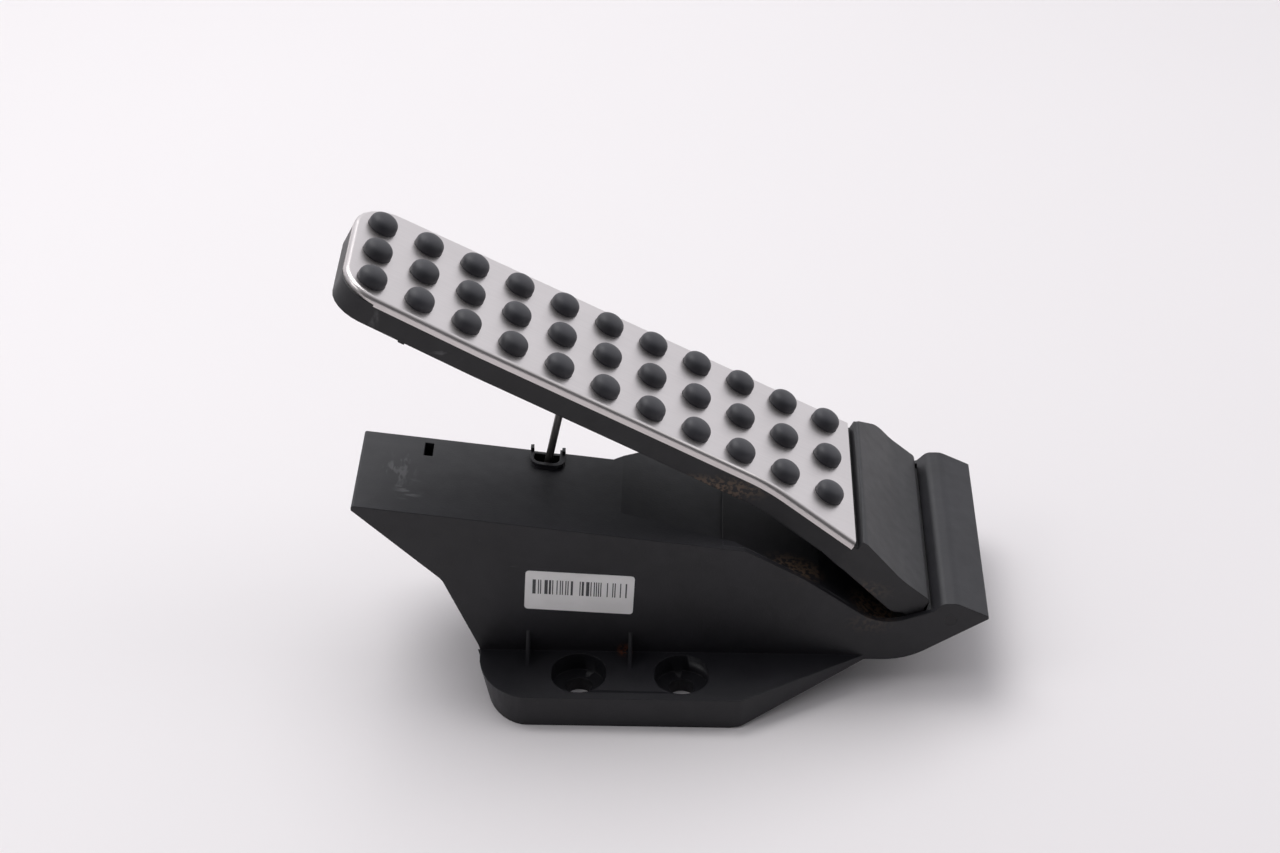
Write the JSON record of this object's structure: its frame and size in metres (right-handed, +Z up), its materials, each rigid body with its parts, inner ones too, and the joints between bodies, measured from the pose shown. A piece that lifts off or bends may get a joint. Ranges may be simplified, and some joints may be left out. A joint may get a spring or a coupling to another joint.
{
  "type": "accelerator pedal sensor",
  "caption": "accelerator pedal sensor, floor-mounted housing with a hinged steel-faced treadle and rubber studs",
  "frame": {"origin": "on the base face, midway between the two near bolts along X and on the middle row of studs in Y", "axes": "X runs along the treadle with the hinge at +X, Y across it away from the near bolts, Z up from the base"},
  "size_m": [0.2156, 0.1211, 0.1432],
  "materials": {
    "housing": "moulded",
    "cover": "moulded",
    "treadle": "moulded",
    "tread_plate": "brushed",
    "stud_mat": "moulded",
    "rod": "drawn",
    "steel": "ground",
    "screw": "zinc plated",
    "pads": "moulded",
    "crank": "moulded",
    "acetal": "moulded",
    "bush": "sintered",
    "board": "lacquered",
    "label": "printed"
  },
  "bodies": {
    "housing_body": {"housing": "housing", "base_cover": "cover", "base_screws": "screw", "sensor_cover": "cover", "cover_seal": "pads", "cover_screws": "screw", "crank_shaft": "steel", "hinge_pin": "steel", "return_spring_outer": "steel", "return_spring_inner": "steel", "friction_shoe": "acetal", "rest_stop": "pads", "end_stop": "pads", "sensor_board": "board", "hall_sensors": "pads", "terminals": "bush", "label": "label"},
    "treadle_body": {"treadle": "treadle", "tread_plate": "tread_plate", "stud_mat": "stud_mat", "rod_socket": "acetal"},
    "rod_body": {"push_rod": "rod", "cross_pin": "steel"},
    "crank_body": {"crank": "crank", "shaft_bushes": "bush", "magnet": "steel"}
  },
  "joints": [
    {"name": "treadle_hinge", "type": "hinge", "parent": "housing_body", "child": "treadle_body", "pos_m": [0.1055, 0, 0.0266], "axis": [0, -1, 0], "range_deg": [0, 11], "stiffness_Nm_per_rad": 8, "springref_deg": -22.92},
    {"name": "rod_pivot", "type": "hinge", "parent": "treadle_body", "child": "rod_body", "pos_m": [-0.0211, -0.0038, 0.09719], "axis": [0, -1, 0], "range_deg": [0, 2.8]},
    {"name": "crank_pivot", "type": "hinge", "parent": "housing_body", "child": "crank_body", "pos_m": [0, 0, 0.033], "axis": [0, -1, 0], "range_deg": [0, 46.3], "deforming": ["return_spring_outer", "return_spring_inner"]}
  ],
  "couplings": [
    {"joint": "rod_pivot", "follows": "treadle_hinge", "ratio": 0.24826},
    {"joint": "crank_pivot", "follows": "treadle_hinge", "ratio": 4.1983}
  ]
}
